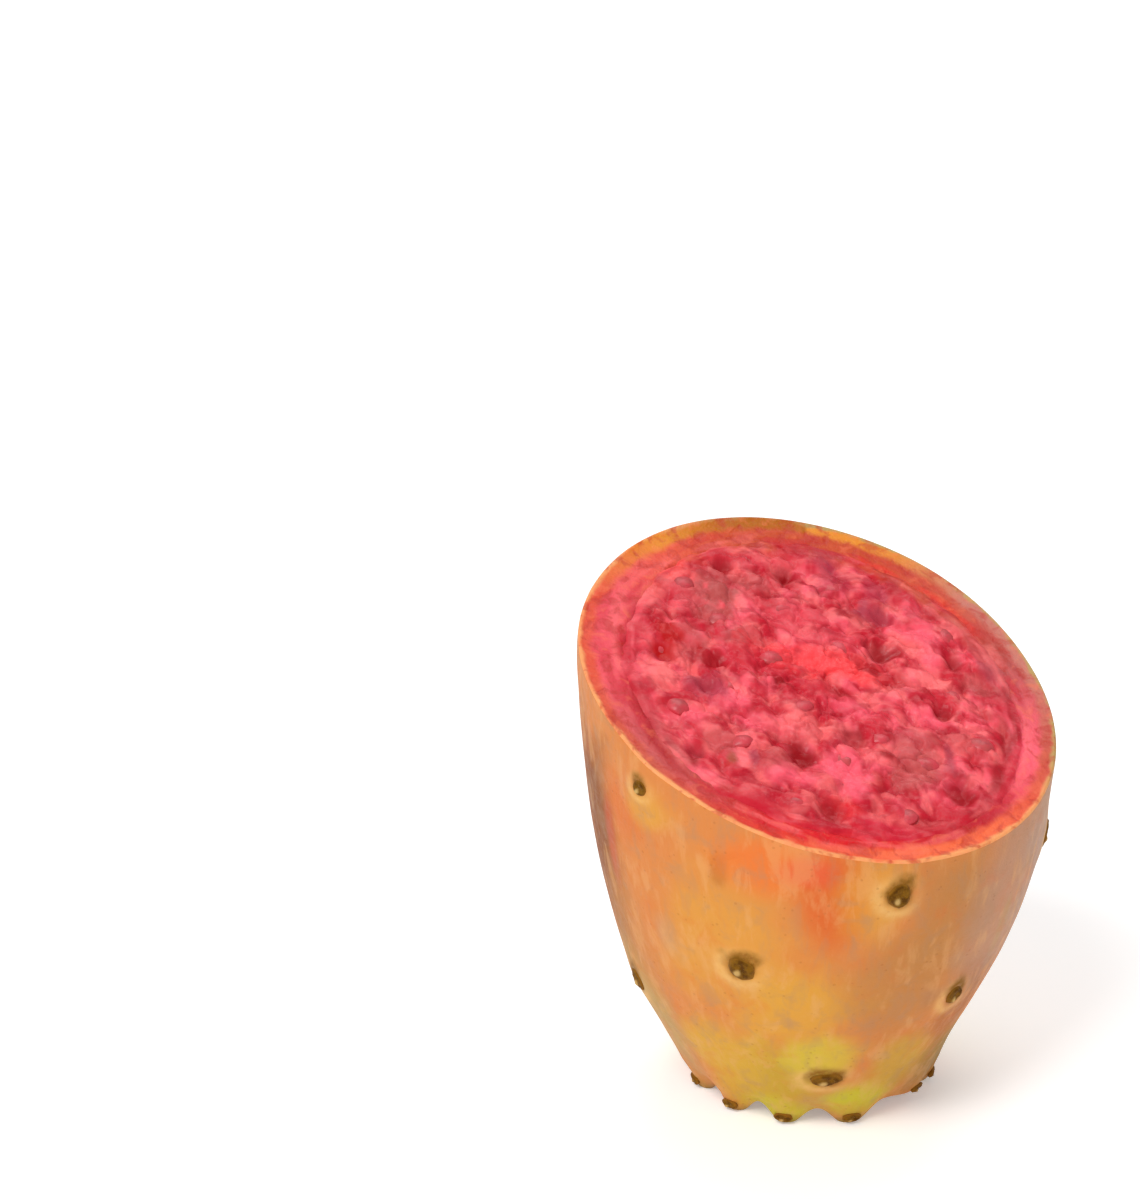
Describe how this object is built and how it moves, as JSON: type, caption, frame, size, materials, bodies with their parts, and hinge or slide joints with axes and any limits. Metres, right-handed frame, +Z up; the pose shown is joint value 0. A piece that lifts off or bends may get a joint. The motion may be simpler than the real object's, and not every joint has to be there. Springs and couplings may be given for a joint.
{
  "type": "prickly pear fruit half",
  "caption": "Half of a prickly pear cut across at a slant, standing on the scalloped rim of its flower scar, with seeded pulp in a thick rind set with spine cushions.",
  "frame": {"origin": "on the fruit's axis, at the level that the rim of the flower scar stands on, which is the middle of the bounding box's base to within half a millimetre", "axes": "+Z up along the fruit's axis, -Y the front where the slanting cut face is lowest, +X to the right seen from the front"},
  "size_m": [0.051, 0.0509, 0.0566],
  "materials": {
    "skin": "thin waxy skin, orange to peach, with yellow-green at the base and rosy and lilac patches",
    "flesh": "wet, translucent crimson pulp with pink and coral sacs and darker pits",
    "cushion": "dry brown felt of very short hairs",
    "scar": "dry corky tissue, tan to orange-brown, with fine rays",
    "seed": "hard brown seed coat, wet with juice"
  },
  "bodies": {
    "root": {"rind": "skin", "pulp": "flesh"}
  },
  "joints": []
}
